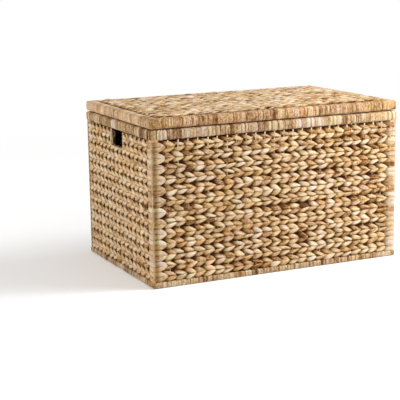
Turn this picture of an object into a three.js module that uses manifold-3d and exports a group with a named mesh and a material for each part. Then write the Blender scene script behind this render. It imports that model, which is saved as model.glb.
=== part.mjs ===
// Water hyacinth trunk with a hinged lid, in millimetres, +Z up, front towards -Y.
// A wooden frame of posts and rails is wrapped in peeled strip. The walls and the lid panel are rows of
// water hyacinth twined over thin cane stakes. The end walls have a hand hole under the rim.

import * as THREE from 'three';
import { mergeGeometries, mergeVertices } from 'three/addons/utils/BufferGeometryUtils.js';
import Module from 'manifold-3d';

// Overall sizes
const trunkLength = 700;
const trunkDepth = 440;
const bodyHeight = 388;
const lidBandHeight = 26;
const lidGap = 1.2;

// Clearance between pieces that touch, and how far a cutting shape runs past what it cuts
const seatGap = 0.3;
const overrun = 2;

// Wooden frame
const timberDepth = 18;
const baseRailHeight = 9.6;
const rimRailHeight = 20;

// Wrapped strip: its thickness over the wood and the rounding of a wrapped edge
const wrapThickness = 2.7;
const wrapEdgeRadius = 3.6;
const bodyCornerRadius = 4;
const lidCornerRadius = 5.6;

// Weave: crest to crest thickness, thickness in the valleys, row height and the canes it is twined over
const weaveThickness = 14;
const valleyThickness = 6.8;
const rowHeight = 13.3;
const stakeSpacing = 27.5;
const stakeDiameter = 3.4;
const endStakeInset = 46.5;
const bareStakeLength = 3;
const rowCrestShares = [0.26, 0.74];

// Corner wraps: one broad band for this many rows, drawn in where two bands meet
const rowsPerBand = 2;
const bandGrooveDepth = 1.1;
const bandShoulderShares = [0.14, 0.86];

// Hand hole in each end wall, between two stakes, and the strip bound round its edge
const handHoleHeight = 40;
const handHoleStakeCount = 4;
const bindingWidth = 7;
const bindingEdge = 1.4;

// Lid panel stands this much above the lid band
const panelRise = 2;

// Base board
const boardThickness = 6;

// Butt hinges on the outside of the back
const hingeWidth = 60;
const hingeLeafHeight = 22;
const hingeLeafThickness = 1.5;
const hingeEndInset = 120;
const knuckleRadius = 3.6;
const knuckleCount = 5;
const knuckleGap = 0.4;
const pinRadius = 1.7;
const pinHeadRadius = 3;
const pinHeadLength = 1.6;

// Hinge screws
const screwsPerLeaf = 3;
const screwHeadRadius = 3.1;
const screwHeadHeight = 1.2;
const screwShankRadius = 1.3;
const screwReach = 14;
const screwLineShare = 0.6;
const screwSpreadShare = 0.72;

// Facets on round sections
const stakeSides = 6;
const screwSides = 6;
const pinSides = 8;
const knuckleSides = 12;
const roundingSteps = 1;
const lidCornerSteps = 3;

// Sizes that follow from the ones above
const wrapWall = wrapThickness - seatGap;
const memberDepth = timberDepth + 2 * wrapThickness;
const baseBandHeight = baseRailHeight + 2 * wrapThickness;
const rimBandHeight = rimRailHeight + 2 * wrapThickness;
const rimBottom = bodyHeight - rimBandHeight;
const lidBottom = bodyHeight + lidGap;
const lidRailHeight = lidBandHeight - 2 * wrapThickness;
const weaveBottom = baseBandHeight + seatGap;
const weaveTop = rimBottom - seatGap;
const weaveCentre = weaveThickness / 2;
const hingeAxisZ = bodyHeight + lidGap / 2;
const hingeReach = seatGap + 2 * knuckleRadius;

const wasm = await Module();
wasm.setup();

// A closed geometry as a solid that can be joined and cut
function solid(geometry) {
  const bare = geometry.index ? geometry.toNonIndexed() : geometry.clone();
  bare.deleteAttribute('normal');
  bare.deleteAttribute('uv');
  const merged = mergeVertices(bare);
  return new wasm.Manifold(new wasm.Mesh({
    numProp: 3,
    vertProperties: new Float32Array(merged.attributes.position.array),
    triVerts: new Uint32Array(merged.index.array),
  }));
}

// The geometry of a solid
function geometryOf(body) {
  const mesh = body.getMesh();
  const geometry = new THREE.BufferGeometry();
  geometry.setAttribute('position', new THREE.BufferAttribute(new Float32Array(mesh.vertProperties), 3));
  geometry.setIndex(new THREE.BufferAttribute(new Uint32Array(mesh.triVerts), 1));
  geometry.computeVertexNormals();
  return geometry;
}

// Materials
function finish(red, green, blue, roughness, metalness = 0) {
  return () => new THREE.MeshStandardMaterial({
    color: new THREE.Color().setRGB(red, green, blue, THREE.SRGBColorSpace),
    roughness,
    metalness,
  });
}
const weaveFinish = finish(0.82, 0.68, 0.51, 0.75);
const wrapFinish = finish(0.86, 0.73, 0.56, 0.6);
const timberFinish = finish(0.72, 0.56, 0.38, 0.7);
const boardFinish = finish(0.78, 0.65, 0.47, 0.7);
const steelFinish = finish(0.45, 0.40, 0.33, 0.4, 0.9);

function piece(name, geometry, makeMaterial) {
  const mesh = new THREE.Mesh(geometry, makeMaterial());
  mesh.name = name;
  return mesh;
}

// Upright rectangle with its edges cut back or rounded, as an outline in the plane of the section
function roundedOutline(path, left, right, bottom, top, radius) {
  path.moveTo(left + radius, bottom);
  path.lineTo(right - radius, bottom);
  path.absarc(right - radius, bottom + radius, radius, -Math.PI / 2, 0);
  path.lineTo(right, top - radius);
  path.absarc(right - radius, top - radius, radius, 0, Math.PI / 2);
  path.lineTo(left + radius, top);
  path.absarc(left + radius, top - radius, radius, Math.PI / 2, Math.PI);
  path.lineTo(left, bottom + radius);
  path.absarc(left + radius, bottom + radius, radius, Math.PI, Math.PI * 3 / 2);
  return path;
}

function rectangle(path, left, right, bottom, top) {
  path.moveTo(left, bottom);
  path.lineTo(right, bottom);
  path.lineTo(right, top);
  path.lineTo(left, top);
  path.closePath();
  return path;
}

// Box given by its lowest and highest corner
function box(low, high) {
  const size = high.map((value, axis) => value - low[axis]);
  const centre = high.map((value, axis) => (value + low[axis]) / 2);
  return new THREE.BoxGeometry(...size).translate(...centre);
}

function extruded(shape, length, steps = 1, curveSegments = roundingSteps) {
  const options = { depth: length, steps, bevelEnabled: false, curveSegments };
  return new THREE.ExtrudeGeometry(shape, options);
}

// A section drawn as (depth, height), extruded along X from -length/2 to length/2
function alongX(shape, length) {
  const turn = new THREE.Matrix4().makeBasis(
    new THREE.Vector3(0, 1, 0), new THREE.Vector3(0, 0, 1), new THREE.Vector3(1, 0, 0));
  return extruded(shape, length).translate(0, 0, -length / 2).applyMatrix4(turn);
}

// Section of a wrapped member: the strip goes round the timber and leaves the ends open
function wrapSection(height) {
  const section = roundedOutline(new THREE.Shape(), 0, memberDepth, 0, height, wrapEdgeRadius);
  const [near, far] = [wrapWall, memberDepth - wrapWall];
  section.holes.push(rectangle(new THREE.Path(), near, far, near, height - wrapWall));
  return section;
}

function timberSection(height) {
  return rectangle(new THREE.Shape(), wrapThickness, memberDepth - wrapThickness,
    wrapThickness, wrapThickness + height);
}

// Moves each point of a unit extrusion (section x, section y, share along the bar) to where place() puts it
function placed(geometry, place) {
  const position = geometry.attributes.position;
  for (let index = 0; index < position.count; index += 1) {
    const point = place(position.getX(index), position.getY(index), position.getZ(index));
    position.setXYZ(index, ...point);
  }
  return geometry;
}

// Bar along one wall, its ends mitred on the diagonal of a square corner
function mitredBar(section, span) {
  return placed(extruded(section, 1), (inset, height, share) => {
    const side = share < 0.5 ? -1 : 1;
    return [side * (span / 2 - inset - seatGap / 2), inset, height];
  });
}

// Slab whose two faces rise and fall with the rows of the weave, drawn from bottom to top
function ridgedSection(bottom, top) {
  const rows = Math.round((top - bottom) / rowHeight);
  const pitch = (top - bottom) / rows;
  const relief = (weaveThickness - valleyThickness) / 2;
  const outer = [new THREE.Vector2(relief, bottom)];
  for (let row = 0; row < rows; row += 1) {
    for (const share of rowCrestShares) outer.push(new THREE.Vector2(0, bottom + (row + share) * pitch));
    outer.push(new THREE.Vector2(relief, bottom + (row + 1) * pitch));
  }
  const inner = outer.map((point) => new THREE.Vector2(weaveThickness - point.x, point.y)).reverse();
  return new THREE.Shape([...inner, ...outer]);
}

// Places of the stakes along a wall, even between the two end ones
function stakePlaces(span) {
  const reach = span / 2 - endStakeInset;
  const gaps = 2 * Math.round((2 * reach / stakeSpacing - 1) / 2) + 1;
  return Array.from({ length: gaps + 1 }, (_, index) => -reach + 2 * reach * index / gaps);
}

// Upright round bars in the middle of a wall's thickness, as one geometry
function uprights(places, radius, bottom, top) {
  const bar = new THREE.CylinderGeometry(radius, radius, top - bottom, stakeSides).rotateX(Math.PI / 2);
  const middle = (bottom + top) / 2;
  return mergeGeometries(places.map((place) => bar.clone().translate(place, weaveCentre, middle)));
}

// Square tube of flat bands wound round a corner post
function cornerWrapGeometry() {
  const bands = Math.round((weaveTop - weaveBottom) / (rowHeight * rowsPerBand));
  const pitch = (weaveTop - weaveBottom) / bands;
  const levels = [[weaveBottom, bandGrooveDepth]];
  for (let band = 0; band < bands; band += 1) {
    for (const share of bandShoulderShares) levels.push([weaveBottom + (band + share) * pitch, 0]);
    levels.push([weaveBottom + (band + 1) * pitch, bandGrooveDepth]);
  }
  const rounding = bodyCornerRadius / memberDepth;
  const outline = new THREE.Shape();
  outline.moveTo(1, 0);
  outline.lineTo(1, 1);
  outline.lineTo(0, 1);
  outline.lineTo(0, rounding);
  outline.absarc(rounding, rounding, rounding, Math.PI, Math.PI * 3 / 2);
  const steps = levels.length - 1;
  const shell = placed(extruded(outline, 1, steps), (across, inward, share) => {
    const [height, groove] = levels[Math.round(share * steps)];
    const side = memberDepth - 2 * groove;
    return [groove + across * side, groove + inward * side, height];
  });
  const hole = box([wrapWall, wrapWall, weaveBottom - overrun],
    [memberDepth - wrapWall, memberDepth - wrapWall, weaveTop + overrun]);
  return geometryOf(solid(shell).subtract(solid(hole)));
}

// Room for the two posts at the ends of a wall
function postRoom(span) {
  const near = wrapThickness - seatGap;
  const far = near + timberDepth + 2 * seatGap;
  const [bottom, top] = [wrapThickness - seatGap, bodyHeight - wrapThickness + seatGap];
  const right = box([span / 2 - far, near, bottom], [span / 2 - near, far, top]);
  const left = right.clone().translate(near + far - span, 0, 0);
  return solid(right).add(solid(left));
}

// Column with the rounded upright edges of the whole body or lid, placed as seen from one side
function roundedColumn(span, reach, radius, height, facets) {
  const outline = roundedOutline(new THREE.Shape(), -span / 2, span / 2, 0, 2 * reach, radius);
  return solid(extruded(outline, height, 1, facets));
}

function bodyWrap(height, bottom, span, reach) {
  const tube = mitredBar(wrapSection(height), span).translate(0, 0, bottom);
  const column = roundedColumn(span, reach, bodyCornerRadius, bodyHeight, roundingSteps);
  return solid(tube).subtract(postRoom(span)).intersect(column);
}

function bodyRail(height, bottom, span) {
  const length = span - 2 * (wrapThickness + timberDepth + seatGap);
  return alongX(timberSection(height), length).translate(0, 0, bottom);
}

// Width of the hand hole between the two bound stakes, measured to their centres
function handHoleSpan(places) {
  const middle = places.length / 2;
  return places[middle + handHoleStakeCount / 2 - 1] - places[middle - handHoleStakeCount / 2];
}

function handHoleFloor() {
  return rimBottom - handHoleHeight;
}

// Woven wall: the rows grip their stakes, which show bare for a little way under the rim.
// An end wall is cut away for the bound hand hole, and only the stakes beside it run up to the rim.
function wovenWall(span, places, hasHandHole) {
  const rowsTop = weaveTop - bareStakeLength;
  const weave = solid(alongX(ridgedSection(weaveBottom, rowsTop), span - 2 * (memberDepth + seatGap)));
  const bare = (chosen, bottom) => solid(uprights(chosen, stakeDiameter / 2, bottom, weaveTop));
  if (!hasHandHole) return geometryOf(weave.add(bare(places, rowsTop - rowHeight)));
  const half = handHoleSpan(places) / 2;
  const roomHalf = half + bindingWidth / 2 + seatGap;
  const floor = handHoleFloor() - bindingWidth - seatGap;
  const room = solid(box([-roomHalf, -overrun, floor], [roomHalf, weaveThickness + overrun, bodyHeight]));
  const away = places.filter((place) => Math.abs(place) > roomHalf);
  const stakes = bare(away, rowsTop - rowHeight).add(bare([-half, half], floor - rowHeight));
  return geometryOf(weave.subtract(room).add(stakes));
}

// U of strip bound round the hand hole: two legs over the bound stakes and a sill between them
function handHoleBinding(places) {
  const outerHalf = handHoleSpan(places) / 2 + bindingWidth / 2;
  const innerHalf = outerHalf - bindingWidth;
  const [sill, top] = [handHoleFloor(), weaveTop];
  const outline = new THREE.Shape();
  outline.moveTo(-outerHalf, sill - bindingWidth);
  outline.lineTo(outerHalf, sill - bindingWidth);
  outline.lineTo(outerHalf, top);
  outline.lineTo(innerHalf, top);
  outline.lineTo(innerHalf, sill);
  outline.lineTo(-innerHalf, sill);
  outline.lineTo(-innerHalf, top);
  outline.lineTo(-outerHalf, top);
  outline.closePath();
  const strip = new THREE.ExtrudeGeometry(outline, {
    depth: weaveThickness - 2 * bindingEdge,
    bevelThickness: bindingEdge,
    bevelSize: bindingEdge,
    bevelOffset: -bindingEdge,
    bevelSegments: 1,
  }).translate(0, 0, bindingEdge);
  const upright = new THREE.Matrix4().makeBasis(
    new THREE.Vector3(1, 0, 0), new THREE.Vector3(0, 0, 1), new THREE.Vector3(0, -1, 0));
  strip.applyMatrix4(upright).translate(0, weaveThickness, 0);
  const half = handHoleSpan(places) / 2;
  const stakes = uprights([-half, half], stakeDiameter / 2 + seatGap, sill - 2 * bindingWidth, bodyHeight);
  return geometryOf(solid(strip).subtract(solid(stakes)));
}

// One wall of the body. It is modelled as the front wall and turned to its side.
function bodyWall(side, span, reach, turn, hasHandHole, roomForScrews) {
  const places = stakePlaces(span);
  const wall = new THREE.Group();
  wall.rotation.z = turn;
  const content = new THREE.Group();
  content.position.y = -reach;
  wall.add(content);
  const drilled = (body) => geometryOf(roomForScrews ? body.subtract(roomForScrews) : body);
  content.add(
    piece(`rim_rail_${side}`, drilled(solid(bodyRail(rimRailHeight, rimBottom, span))), timberFinish),
    piece(`base_rail_${side}`, bodyRail(baseRailHeight, 0, span), timberFinish),
    piece(`rim_wrap_${side}`, drilled(bodyWrap(rimBandHeight, rimBottom, span, reach)), wrapFinish),
    piece(`base_wrap_${side}`, geometryOf(bodyWrap(baseBandHeight, 0, span, reach)), wrapFinish),
    piece(`woven_wall_${side}`, wovenWall(span, places, hasHandHole), weaveFinish),
  );
  if (hasHandHole) content.add(piece(`hand_hole_binding_${side}`, handHoleBinding(places), wrapFinish));
  return wall;
}

// Corner post and the bands wound round it, modelled for the front left corner and turned
function corner(name, turn, halfSpan, halfReach) {
  const group = new THREE.Group();
  group.rotation.z = turn;
  const content = new THREE.Group();
  content.position.set(-halfSpan, -halfReach, 0);
  group.add(content);
  const near = wrapThickness;
  const far = near + timberDepth;
  const post = box([near, near, wrapThickness], [far, far, bodyHeight - wrapThickness]);
  content.add(
    piece(`corner_post_${name}`, post, timberFinish),
    piece(`corner_wrap_${name}`, cornerWrapGeometry(), wrapFinish),
  );
  return group;
}

// Plywood board on the ledge of the base wraps, notched round the corner wraps
function baseBoard() {
  const halfLength = trunkLength / 2 - weaveThickness - seatGap;
  const halfDepth = trunkDepth / 2 - weaveThickness - seatGap;
  const notch = memberDepth - weaveThickness;
  const bottom = baseBandHeight + seatGap;
  const top = bottom + boardThickness;
  const slab = (length, depth) => solid(box([-length, -depth, bottom], [length, depth, top]));
  return geometryOf(slab(halfLength - notch, halfDepth).add(slab(halfLength, halfDepth - notch)));
}

// Holes and screws of one hinge leaf, as places (x, z) measured from the hinge axis and centre
function screwPlaces(towards) {
  const drop = towards * hingeLeafHeight * screwLineShare;
  return Array.from({ length: screwsPerLeaf }, (_, index) => {
    const share = index / (screwsPerLeaf - 1) - 0.5;
    return [share * hingeWidth * screwSpreadShare, drop];
  });
}

function hingePlaces() {
  return [-1, 1].map((side) => side * (trunkLength / 2 - hingeEndInset));
}

// Round bar along Y from one depth to another
function boltBar(x, z, radius, from, to, sides) {
  return new THREE.CylinderGeometry(radius, radius, to - from, sides).translate(x, (from + to) / 2, z);
}

// Dome-headed screw, its head outside the leaf and its shank through the wrap into the rail
function screw() {
  const headSeat = -seatGap - hingeLeafThickness - seatGap;
  const profile = [
    [0, 0], [screwHeadRadius, 0], [screwHeadRadius / 2, screwHeadHeight], [0, screwHeadHeight],
  ].map(([radius, height]) => new THREE.Vector2(radius, height));
  const head = new THREE.LatheGeometry(profile, screwSides).rotateX(Math.PI).translate(0, headSeat, 0);
  const shank = boltBar(0, 0, screwShankRadius, headSeat - screwHeadHeight / 2, screwReach, screwSides);
  return geometryOf(solid(head).add(solid(shank)));
}

// Room in the wraps and rails for the shanks, in the frame of the back wall, z from the hinge axis
function screwRoom(towards) {
  const radius = screwShankRadius + seatGap;
  const bars = hingePlaces().flatMap((centre) => screwPlaces(towards).map(([x, z]) => boltBar(
    centre + x, z, radius, -hingeReach, screwReach + seatGap, screwSides)));
  return solid(mergeGeometries(bars));
}

// One leaf of a hinge with its knuckles, in the frame of the back wall, z from the hinge axis
function hingeLeaf(towards, ownKnuckles) {
  const axisDepth = -seatGap - knuckleRadius;
  const [low, high] = towards < 0 ? [-hingeLeafHeight, 0] : [0, hingeLeafHeight];
  const plate = box([-hingeWidth / 2, -seatGap - hingeLeafThickness, low], [hingeWidth / 2, -seatGap, high]);
  const alongBar = (radius, length, sides) => new THREE.CylinderGeometry(radius, radius, length, sides)
    .rotateZ(Math.PI / 2).translate(0, axisDepth, 0);
  let leaf = solid(plate).add(solid(alongBar(knuckleRadius, hingeWidth, knuckleSides)));
  const pitch = hingeWidth / knuckleCount;
  for (let knuckle = 0; knuckle < knuckleCount; knuckle += 1) {
    if (ownKnuckles(knuckle)) continue;
    const from = -hingeWidth / 2 + knuckle * pitch;
    const reach = knuckleRadius + knuckleGap;
    const start = knuckle === 0 ? from - overrun : from - knuckleGap / 2;
    const end = knuckle === knuckleCount - 1 ? from + pitch + overrun : from + pitch + knuckleGap / 2;
    leaf = leaf.subtract(solid(box([start, axisDepth - reach, -reach], [end, overrun, reach])));
  }
  leaf = leaf.subtract(solid(alongBar(pinRadius + seatGap, hingeWidth + overrun, pinSides)));
  const holes = screwPlaces(towards).map(([x, z]) => boltBar(
    x, z, screwShankRadius + seatGap, -hingeReach, 0, screwSides));
  return leaf.subtract(solid(mergeGeometries(holes)));
}

function hingePin() {
  const half = hingeWidth / 2;
  const profile = [
    [0, -half - seatGap - pinHeadLength],
    [pinHeadRadius, -half - seatGap - pinHeadLength],
    [pinHeadRadius, -half - seatGap],
    [pinRadius, -half - seatGap],
    [pinRadius, half + seatGap],
    [pinHeadRadius, half + seatGap],
    [pinHeadRadius, half + seatGap + pinHeadLength],
    [0, half + seatGap + pinHeadLength],
  ].map(([radius, height]) => new THREE.Vector2(radius, height));
  return new THREE.LatheGeometry(profile, pinSides).rotateZ(Math.PI / 2)
    .translate(0, -seatGap - knuckleRadius, 0);
}

// Both hinges: leaves, pins and the screws of each leaf, on the back of the trunk
function hinges() {
  const back = new THREE.Group();
  back.rotation.z = Math.PI;
  const content = new THREE.Group();
  content.position.set(0, -trunkDepth / 2, hingeAxisZ);
  back.add(content);
  const isBodyKnuckle = (knuckle) => knuckle % 2 === 0;
  const isLidKnuckle = (knuckle) => knuckle % 2 === 1;
  hingePlaces().forEach((centre, index) => {
    const name = index === 0 ? 'right' : 'left';
    const bodyLeaf = piece(`hinge_body_leaf_${name}`, geometryOf(hingeLeaf(-1, isBodyKnuckle)), steelFinish);
    const lidLeaf = piece(`hinge_lid_leaf_${name}`, geometryOf(hingeLeaf(1, isLidKnuckle)), steelFinish);
    const pin = piece(`hinge_pin_${name}`, hingePin(), steelFinish);
    for (const part of [bodyLeaf, lidLeaf, pin]) part.position.x = centre;
    content.add(bodyLeaf, lidLeaf, pin);
    for (const [towards, leaf] of [[-1, 'body'], [1, 'lid']]) {
      screwPlaces(towards).forEach(([x, z], number) => {
        const fastener = piece(`hinge_screw_${leaf}_${name}_${number + 1}`, screw(), steelFinish);
        fastener.position.set(centre + x, 0, z);
        content.add(fastener);
      });
    }
  });
  return back;
}

// One side of the lid frame, modelled as the front side and turned
function lidSide(side, span, reach, turn, roomForScrews) {
  const group = new THREE.Group();
  group.rotation.z = turn;
  const content = new THREE.Group();
  content.position.set(0, -reach, lidBottom);
  group.add(content);
  const rail = solid(mitredBar(timberSection(lidRailHeight), span));
  const column = roundedColumn(span, reach, lidCornerRadius, lidBandHeight, lidCornerSteps);
  const wrap = solid(mitredBar(wrapSection(lidBandHeight), span)).intersect(column);
  const drilled = (body) => geometryOf(roomForScrews ? body.subtract(roomForScrews) : body);
  content.add(
    piece(`lid_rail_${side}`, drilled(rail), timberFinish),
    piece(`lid_wrap_${side}`, drilled(wrap), wrapFinish),
  );
  return group;
}

// Woven panel inside the lid frame, its rows running from left to right
function lidPanel() {
  const inset = memberDepth + seatGap;
  const [halfLength, halfDepth] = [trunkLength / 2 - inset, trunkDepth / 2 - inset];
  const lying = new THREE.Matrix4().makeBasis(
    new THREE.Vector3(0, 0, -1), new THREE.Vector3(0, 1, 0), new THREE.Vector3(1, 0, 0));
  const slab = extruded(ridgedSection(-halfDepth, halfDepth), 2 * halfLength)
    .translate(0, 0, -halfLength).applyMatrix4(lying);
  const mesh = piece('lid_woven_panel', geometryOf(solid(slab)), weaveFinish);
  mesh.position.z = lidBottom + lidBandHeight + panelRise;
  return mesh;
}

// The trunk, with its origin under the middle of everything that it takes up on the floor
const trunk = new THREE.Group();
trunk.position.y = -hingeReach / 2;

const quarter = Math.PI / 2;
const bodyScrewRoom = screwRoom(-1).translate([0, 0, hingeAxisZ]);
const lidScrewRoom = screwRoom(1).translate([0, 0, hingeAxisZ - lidBottom]);
const [longReach, endReach] = [trunkDepth / 2, trunkLength / 2];
trunk.add(
  bodyWall('front', trunkLength, longReach, 0, false),
  bodyWall('right', trunkDepth, endReach, quarter, true),
  bodyWall('back', trunkLength, longReach, 2 * quarter, false, bodyScrewRoom),
  bodyWall('left', trunkDepth, endReach, 3 * quarter, true),
  corner('front_left', 0, endReach, longReach),
  corner('front_right', quarter, longReach, endReach),
  corner('back_right', 2 * quarter, endReach, longReach),
  corner('back_left', 3 * quarter, longReach, endReach),
  piece('base_board', baseBoard(), boardFinish),
  hinges(),
  lidSide('front', trunkLength, longReach, 0),
  lidSide('right', trunkDepth, endReach, quarter),
  lidSide('back', trunkLength, longReach, 2 * quarter, lidScrewRoom),
  lidSide('left', trunkDepth, endReach, 3 * quarter),
  lidPanel(),
);

export default trunk;
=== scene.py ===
import math
from typing import NamedTuple

import bpy
import numpy as np
from mathutils import Matrix, Vector


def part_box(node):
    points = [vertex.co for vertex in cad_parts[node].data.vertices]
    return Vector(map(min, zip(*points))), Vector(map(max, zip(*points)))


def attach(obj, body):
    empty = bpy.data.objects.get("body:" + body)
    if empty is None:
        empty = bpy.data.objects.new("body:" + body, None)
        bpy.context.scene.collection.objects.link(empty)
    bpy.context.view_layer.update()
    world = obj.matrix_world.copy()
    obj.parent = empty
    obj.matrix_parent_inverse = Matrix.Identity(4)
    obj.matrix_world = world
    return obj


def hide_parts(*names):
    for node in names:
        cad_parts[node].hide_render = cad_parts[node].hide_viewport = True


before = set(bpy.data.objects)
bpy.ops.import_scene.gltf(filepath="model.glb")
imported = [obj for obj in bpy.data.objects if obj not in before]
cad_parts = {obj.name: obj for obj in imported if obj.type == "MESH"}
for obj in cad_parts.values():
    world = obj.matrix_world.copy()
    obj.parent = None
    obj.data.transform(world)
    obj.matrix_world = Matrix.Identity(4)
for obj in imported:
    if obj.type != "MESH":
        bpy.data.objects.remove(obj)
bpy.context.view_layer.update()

# The looks of a water hyacinth trunk, in metres, +Z up, front towards -Y. The walls and the lid panel are
# rows of two stems twined over canes, the corners are wrapped by the stems' flat turns, and the frame is
# wound with peeled strip.

MM = 0.001

# Sizes read from the solids
rim_low, rim_high = (np.array(corner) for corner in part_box("rim_wrap_front"))
base_high = np.array(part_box("base_wrap_front")[1])
lid_low, lid_high = (np.array(corner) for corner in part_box("lid_wrap_front"))
side_high = np.array(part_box("rim_wrap_right")[1])
back_high = np.array(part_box("rim_wrap_back")[1])
weave_low, weave_high = (np.array(corner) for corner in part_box("woven_wall_front"))
panel_low, panel_high = (np.array(corner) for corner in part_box("lid_woven_panel"))
binding_low, binding_high = (np.array(corner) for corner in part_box("hand_hole_binding_right"))

FRONT, BACK, RIGHT = rim_low[1], back_high[1], side_high[0]
MIDDLE = (FRONT + BACK) / 2
HALF_LENGTH, HALF_DEPTH = RIGHT, (BACK - FRONT) / 2
MEMBER = rim_high[1] - rim_low[1]
WEAVE = weave_high[1] - weave_low[1]

# Sizes of the weave, wraps and corners
STAKE_RADIUS = 1.9 * MM
END_STAKE = 46.5 * MM
STAKE_GAPS = {"front": 23, "right": 13, "back": 23, "left": 13}
END_WALLS = ("left", "right")
ROWS = 26
BARE_STAKE = 3 * MM
ROW_HEIGHT = (weave_high[2] - BARE_STAKE - weave_low[2]) / ROWS
LID_ROWS = 30
BODY_ROUNDING = 4 * MM
LID_ROUNDING = 8 * MM
LID_LIFT = 0.8 * MM
INNER_ROUNDING = 2.5 * MM
CORNER_TURN = 10 * MM
POST_RECESS = 3.4 * MM
BOUND_STAKE = 40.04 * MM
BINDING = 7 * MM
SKIN = 0.8 * MM
UP = np.array([0.0, 0.0, 1.0])

draw = np.random.default_rng(20388)


class Face:
    """One side of the trunk seen from outside: u runs to the right, d inwards from its plane and w up."""

    def __init__(self, middle, along, inward, up, half):
        self.middle, self.half = np.array(middle, float), half
        self.axes = np.array([along, inward, up], float)

    def place(self, local):
        return self.middle + local @ self.axes


FACES = {
    "front": Face((0, FRONT, 0), (1, 0, 0), (0, 1, 0), (0, 0, 1), HALF_LENGTH),
    "right": Face((RIGHT, MIDDLE, 0), (0, 1, 0), (-1, 0, 0), (0, 0, 1), HALF_DEPTH),
    "back": Face((0, BACK, 0), (-1, 0, 0), (0, -1, 0), (0, 0, 1), HALF_LENGTH),
    "left": Face((-RIGHT, MIDDLE, 0), (0, -1, 0), (1, 0, 0), (0, 0, 1), HALF_DEPTH),
}
LID_TOP = Face((0, MIDDLE, panel_high[2]), (1, 0, 0), (0, 0, -1), (0, 1, 0), HALF_LENGTH)
CORNERS = {
    "front_left": ("left", "front"),
    "front_right": ("front", "right"),
    "back_right": ("right", "back"),
    "back_left": ("back", "left"),
}


class Bundle:
    """Closed tubes gathered into one mesh, with a UV map in metres and a tint for each point."""

    def __init__(self):
        self.points, self.corners, self.sizes, self.uvs, self.tints = [], [], [], [], []
        self.count = 0

    def add(self, grid, length, girth, tint, across=False):
        """Adds tubes given as points [tube, ring, side]. Rings follow the tube and sides go round it, and
        each end is closed by one flat face. length [tube, ring] is the distance along, girth [side + 1] the
        distance round, and tint [tube, ring, side, 3] holds tone, hue and depth of shade. Where the strand
        goes round the tube and not along it, across swaps the two directions of the UV map. The faces are
        turned so that, added up, they look away from the middles of their rings."""
        tubes, rings, sides, _ = grid.shape
        index = np.arange(grid.size // 3).reshape(tubes, rings, sides)
        after = np.roll(index, -1, axis=2)
        quads = np.stack([index[:, :-1], after[:, :-1], after[:, 1:], index[:, 1:]], axis=-1)
        along = np.broadcast_to(length[:, :, None], (tubes, rings, sides))
        about = np.broadcast_to(girth, (tubes, rings, sides + 1))
        uv = np.stack([
            np.stack([along[:, :-1], about[:, :-1, :-1]], -1),
            np.stack([along[:, :-1], about[:, :-1, 1:]], -1),
            np.stack([along[:, 1:], about[:, 1:, 1:]], -1),
            np.stack([along[:, 1:], about[:, 1:, :-1]], -1),
        ], axis=-2)
        quads, uv = quads.reshape(-1, 4), uv.reshape(-1, 4, 2)
        ends = np.concatenate([index[:, 0, ::-1], index[:, -1]])
        end_uv = np.stack([
            np.concatenate([along[:, 0, ::-1], along[:, -1]]),
            np.concatenate([about[:, 0, -2::-1], about[:, -1, :-1]]),
        ], axis=-1)

        flat = grid.reshape(-1, 3)
        a, b, c, d = (flat[quads[:, k]] for k in range(4))
        hub = np.repeat(grid.mean(axis=2)[:, :-1].reshape(-1, 3), sides, axis=0)
        outward = np.einsum("ij,ij->i", np.cross(c - a, d - b), (a + b + c + d) / 4 - hub).sum()
        if outward < 0:
            quads, uv, ends, end_uv = quads[:, ::-1], uv[:, ::-1], ends[:, ::-1], end_uv[:, ::-1]

        self.points.append(flat)
        self.tints.append(np.broadcast_to(tint, (tubes, rings, sides, 3)).reshape(-1, 3))
        for faces, face_uv in ((quads, uv), (ends, end_uv)):
            self.corners.append((faces + self.count).ravel())
            self.sizes.append(np.full(len(faces), faces.shape[1]))
            self.uvs.append(face_uv.reshape(-1, 2)[:, ::-1] if across else face_uv.reshape(-1, 2))
        self.count += len(flat)

    def mesh(self, name):
        """All the tubes as one smooth mesh."""
        made = bpy.data.meshes.new(name)
        points, corners = np.concatenate(self.points), np.concatenate(self.corners)
        sizes = np.concatenate(self.sizes)
        made.vertices.add(len(points))
        made.vertices.foreach_set("co", points.astype(np.float32).ravel())
        made.loops.add(len(corners))
        made.loops.foreach_set("vertex_index", corners.astype(np.int32))
        made.polygons.add(len(sizes))
        made.polygons.foreach_set("loop_start", (np.cumsum(sizes) - sizes).astype(np.int32))
        made.polygons.foreach_set("use_smooth", np.ones(len(sizes), bool))
        made.update(calc_edges=True)
        made.uv_layers.new(name="strand").data.foreach_set(
            "uv", np.concatenate(self.uvs).astype(np.float32).ravel())
        tint = np.concatenate(self.tints)
        rgba = np.concatenate([tint, np.ones((len(tint), 1))], axis=1).astype(np.float32)
        made.color_attributes.new("tint", "FLOAT_COLOR", "POINT").data.foreach_set("color", rgba.ravel())
        return made


def piece(name, bundle, material, body, slot, *nodes):
    """A finished piece that rides on its body and stands for the named solids."""
    thing = bpy.data.objects.new(name, bundle.mesh(name))
    bpy.context.scene.collection.objects.link(thing)
    thing.data.materials.append(material)
    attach(thing, body)
    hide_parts(*nodes)


def smooth_step(value):
    """0 below 0, 1 above 1 and an even S curve in between."""
    value = np.clip(value, 0, 1)
    return value * value * (3 - 2 * value)


# Stems: their shape from pass to pass and their colours
def at_passes(values, turn):
    """Values given for whole passes [tube, pass], joined by straight lines at the turns in between."""
    low = np.floor(turn).astype(int)
    part = turn - low
    return np.take_along_axis(values, low, 1) * (1 - part) + np.take_along_axis(values, low + 1, 1) * part


def noise(shape, size):
    """Random numbers with the given spread, cut off at twice that spread."""
    return size * np.clip(draw.standard_normal(shape), -2, 2)


class Tones(NamedTuple):
    """The colours of strands: mean tone, its spread from stem to stem, the chance that a pass begins a new
    stem, the spread from pass to pass, and the share of passes that are stained dark."""
    mean: float
    spread: float
    splice: float
    jitter: float
    stained: float = 0.05


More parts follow.
